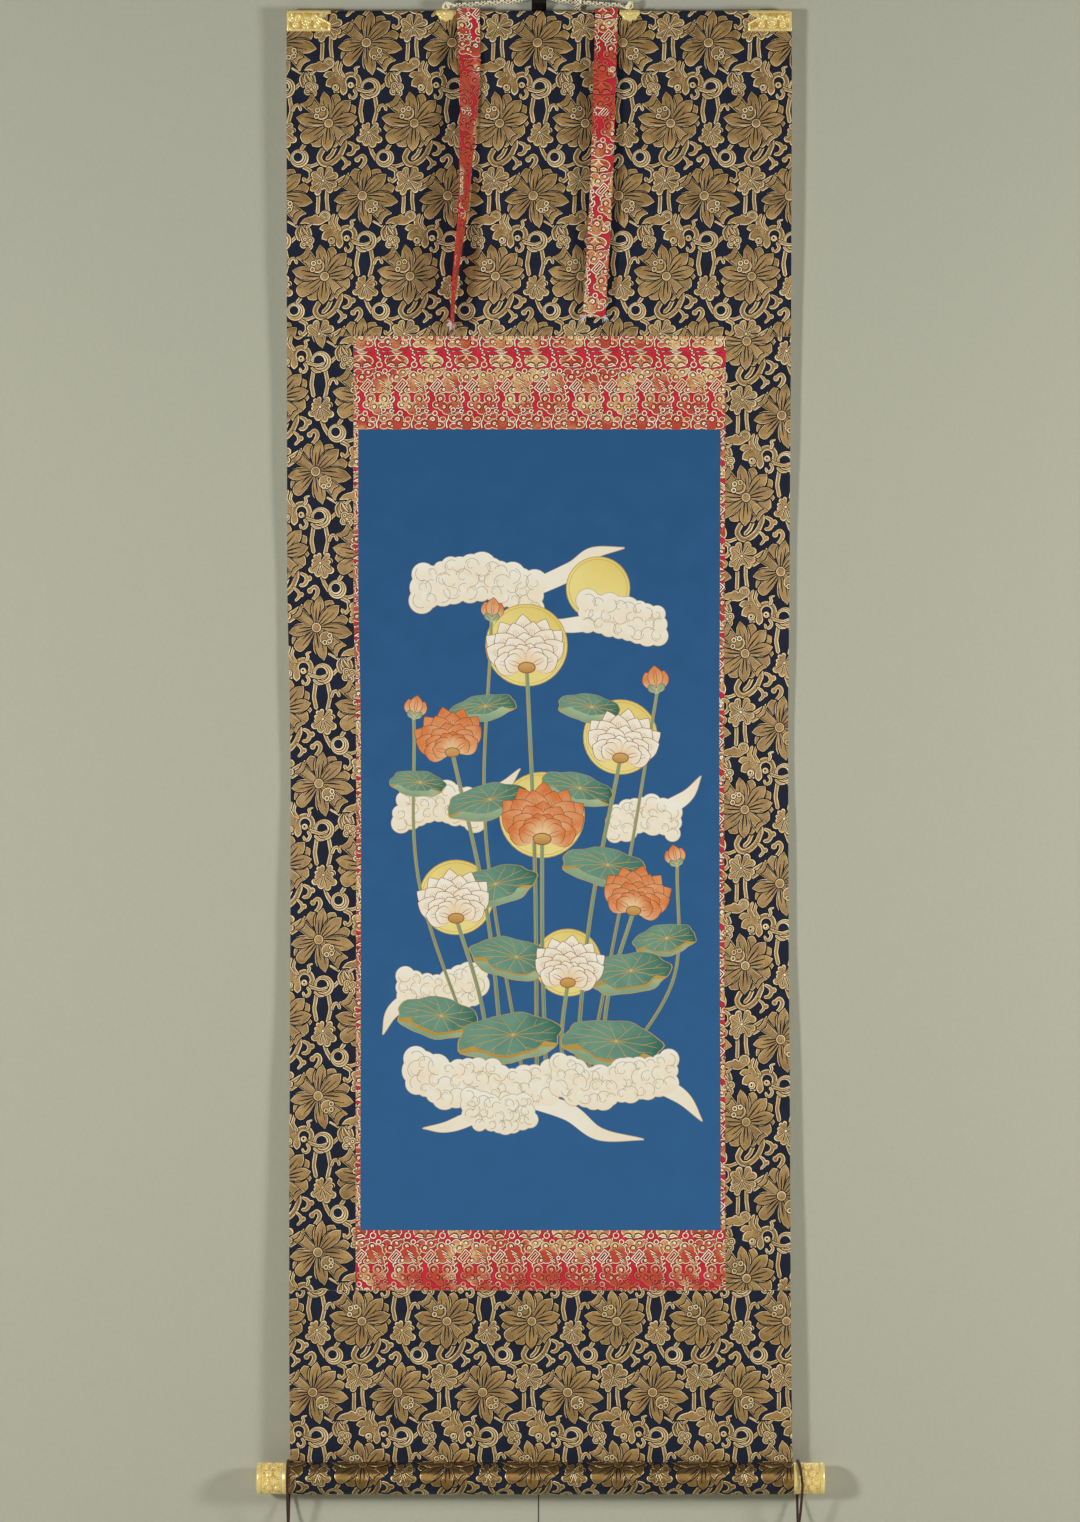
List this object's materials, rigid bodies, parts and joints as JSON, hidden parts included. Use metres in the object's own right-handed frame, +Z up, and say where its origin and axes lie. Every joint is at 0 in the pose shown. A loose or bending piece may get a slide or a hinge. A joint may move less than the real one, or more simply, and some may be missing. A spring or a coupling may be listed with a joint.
{
  "type": "buddhist hanging scroll with its wall hook",
  "caption": "Tall hanging scroll: a painted silk panel in lotus brocade, with ribbons, braided cord, gold-ended roller and scroll weights, on its wall hook.",
  "frame": {"origin": "middle of the hook's back face, where it meets the wall; the wall is the plane Y = 0", "axes": "+Z up, +Y into the wall, +X to the viewer's right; the viewer stands at -Y"},
  "size_m": [0.6148, 0.0507, 1.757],
  "materials": {
    "navy_brocade": "lotus scroll brocade, gold weft on a navy satin ground",
    "red_brocade": "cloud brocade, gold weft on red",
    "picture_silk": null,
    "gilt": "chased and gilt",
    "braid": "flat silk braid, cream with dark and gold flecks",
    "weight_silk": "round silk cord, dark red brown",
    "wood": "plain cedar",
    "hook_black": "black, satin",
    "thread": "white silk thread",
    "weight_ceramic": "off-white glaze"
  },
  "bodies": {
    "root": {"upper_cloth": "navy_brocade", "lower_cloth": "navy_brocade", "left_pillar": "navy_brocade", "right_pillar": "navy_brocade", "upper_band": "red_brocade", "lower_band": "red_brocade", "left_strip": "red_brocade", "right_strip": "red_brocade", "picture": "picture_silk", "stave": "wood", "roller": "wood", "left_knob": "gilt", "right_knob": "gilt", "left_corner_plate": "gilt", "right_corner_plate": "gilt", "left_ring_seat": "gilt", "right_ring_seat": "gilt", "left_ring": "gilt", "right_ring": "gilt", "hook": "hook_black", "hanging_cord": "braid", "left_knot": "braid", "right_knot": "braid", "wrapping_loop": "braid", "wrapping_cord": "braid", "left_ribbon": "red_brocade", "right_ribbon": "red_brocade", "left_tuft_outer": "thread", "left_tuft_inner": "thread", "right_tuft_outer": "thread", "right_tuft_inner": "thread", "left_weight_cord": "weight_silk", "right_weight_cord": "weight_silk", "left_weight": "weight_ceramic", "right_weight": "weight_ceramic"}
  },
  "joints": []
}
